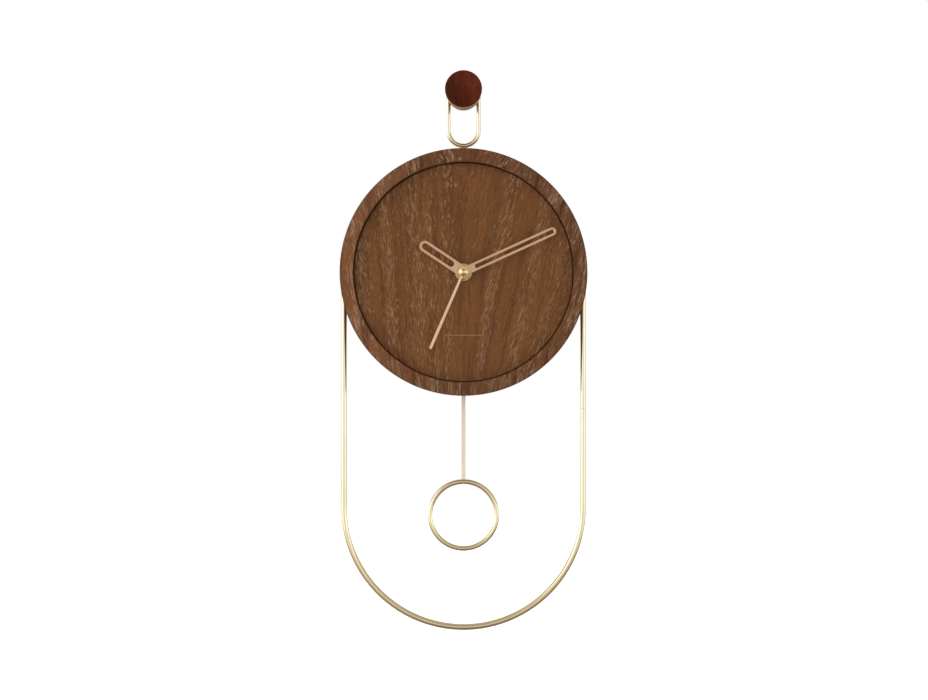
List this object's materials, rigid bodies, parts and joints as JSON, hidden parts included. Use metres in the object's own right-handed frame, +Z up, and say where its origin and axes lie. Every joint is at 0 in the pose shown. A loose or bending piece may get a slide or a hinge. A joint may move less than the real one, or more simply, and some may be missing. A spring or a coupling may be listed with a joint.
{
  "type": "pendulum wall clock",
  "caption": "Round timber wall clock on a slim brass stadium frame, hung by a small loop from a turned timber knob, with slotted hands, quartz movement and ring pendulum.",
  "frame": {"origin": "middle of the knob's back face, on the wall plane", "axes": "+Z up, +X to the right as seen from the front, -Y out of the wall toward the viewer"},
  "size_m": [0.2018, 0.0784, 0.4565],
  "materials": {
    "veneer": "open-pored walnut-brown veneer, oiled",
    "knob_timber": "dark reddish timber, satin lacquer",
    "pale_brass": "polished pale brass",
    "steel": "zinc plated",
    "champagne": "satin champagne anodised",
    "black_plastic": "moulded, fine spark texture",
    "white_plastic": "moulded acetal",
    "copper_wire": "enamelled copper wire",
    "board_green": "solder mask",
    "ferrite": "sintered magnet",
    "cell_wrap": "plain shrink wrap",
    "rubber": "soft",
    "felt_grey": "soft pad"
  },
  "bodies": {
    "wall_knob": {"knob": "knob_timber", "knob_insert": "pale_brass", "hanger_screw": "steel"},
    "clock": {"hanging_loop": "pale_brass", "frame_tube": "pale_brass", "frame_joint_pin": "steel", "frame_clips": "steel", "clip_screws": "steel", "case_ring": "veneer", "dial_ledge": "veneer", "dial_board": "veneer", "dial_screws": "steel", "wall_bumpers": "felt_grey", "rubber_washer": "rubber", "dial_washer": "pale_brass", "dial_nut": "pale_brass", "centre_bush": "pale_brass", "movement_front": "black_plastic", "movement_back": "black_plastic", "train_plate": "white_plastic", "stator": "steel", "motor_bobbin": "white_plastic", "motor_coil": "copper_wire", "circuit_board": "board_green", "quartz_crystal": "steel", "ic_chip": "black_plastic", "contact_plus": "steel", "contact_minus": "steel", "pendulum_bobbin": "white_plastic", "pendulum_coil": "copper_wire", "pendulum_pin": "steel"},
    "second": {"second_wheel": "pale_brass", "second_hand": "champagne", "second_cap": "pale_brass"},
    "rotor": {"rotor_pinion": "white_plastic", "rotor_magnet": "ferrite"},
    "intermediate": {"intermediate_wheel": "white_plastic"},
    "third": {"third_wheel": "white_plastic"},
    "centre": {"centre_wheel": "white_plastic", "clutch_spring": "steel"},
    "minute": {"minute_arbor": "pale_brass", "minute_hand": "champagne"},
    "reverse": {"reverse_wheel": "white_plastic"},
    "hour": {"hour_wheel": "white_plastic", "hour_hand": "champagne"},
    "setter": {"setting_knob": "white_plastic"},
    "battery": {"battery_cell": "cell_wrap"},
    "pendulum": {"pendulum_hanger": "white_plastic", "pendulum_magnet": "ferrite", "pendulum_rod": "pale_brass", "pendulum_ring": "pale_brass"}
  },
  "joints": [
    {"name": "hang_swing", "type": "hinge", "parent": "wall_knob", "child": "clock", "pos_m": [0, -0.008, 0], "axis": [0, 1, 0], "range_deg": [-15, 15]},
    {"name": "pendulum_swing", "type": "hinge", "parent": "clock", "child": "pendulum", "pos_m": [0, -0.0109, -0.184], "axis": [0, 1, 0], "range_deg": [-8, 8]},
    {"name": "second_spin", "type": "hinge", "parent": "clock", "child": "second", "pos_m": [0, -0.0425, -0.148], "axis": [0, 1, 0], "continuous": true},
    {"name": "intermediate_spin", "type": "hinge", "parent": "clock", "child": "intermediate", "pos_m": [-0.01182, -0.0156, -0.14483], "axis": [0, 1, 0], "continuous": true},
    {"name": "rotor_spin", "type": "hinge", "parent": "clock", "child": "rotor", "pos_m": [-0.00823, -0.0185, -0.13497], "axis": [0, 1, 0], "continuous": true},
    {"name": "third_spin", "type": "hinge", "parent": "clock", "child": "third", "pos_m": [0.00938, -0.0192, -0.14013], "axis": [0, 1, 0], "continuous": true},
    {"name": "centre_spin", "type": "hinge", "parent": "clock", "child": "centre", "pos_m": [0, -0.0231, -0.148], "axis": [0, 1, 0], "continuous": true},
    {"name": "minute_spin", "type": "hinge", "parent": "clock", "child": "minute", "pos_m": [0, -0.0412, -0.148], "axis": [0, 1, 0], "continuous": true},
    {"name": "hour_spin", "type": "hinge", "parent": "clock", "child": "hour", "pos_m": [0, -0.0396, -0.148], "axis": [0, 1, 0], "continuous": true},
    {"name": "reverse_spin", "type": "hinge", "parent": "clock", "child": "reverse", "pos_m": [-0.00919, -0.0254, -0.14029], "axis": [0, 1, 0], "continuous": true},
    {"name": "setter_spin", "type": "hinge", "parent": "clock", "child": "setter", "pos_m": [-0.01594, -0.011, -0.12859], "axis": [0, 1, 0], "continuous": true},
    {"name": "battery_out", "type": "slide", "parent": "clock", "child": "battery", "axis": [0, 1, 0], "range_m": [0, 0.016]}
  ],
  "couplings": [
    {"joint": "intermediate_spin", "follows": "second_spin", "ratio": -5},
    {"joint": "rotor_spin", "follows": "second_spin", "ratio": 30},
    {"joint": "third_spin", "follows": "second_spin", "ratio": -0.13333},
    {"joint": "centre_spin", "follows": "second_spin", "ratio": 0.016667},
    {"joint": "hour_spin", "follows": "minute_spin", "ratio": 0.083333},
    {"joint": "reverse_spin", "follows": "minute_spin", "ratio": -0.33333},
    {"joint": "setter_spin", "follows": "minute_spin", "ratio": 0.66667}
  ]
}
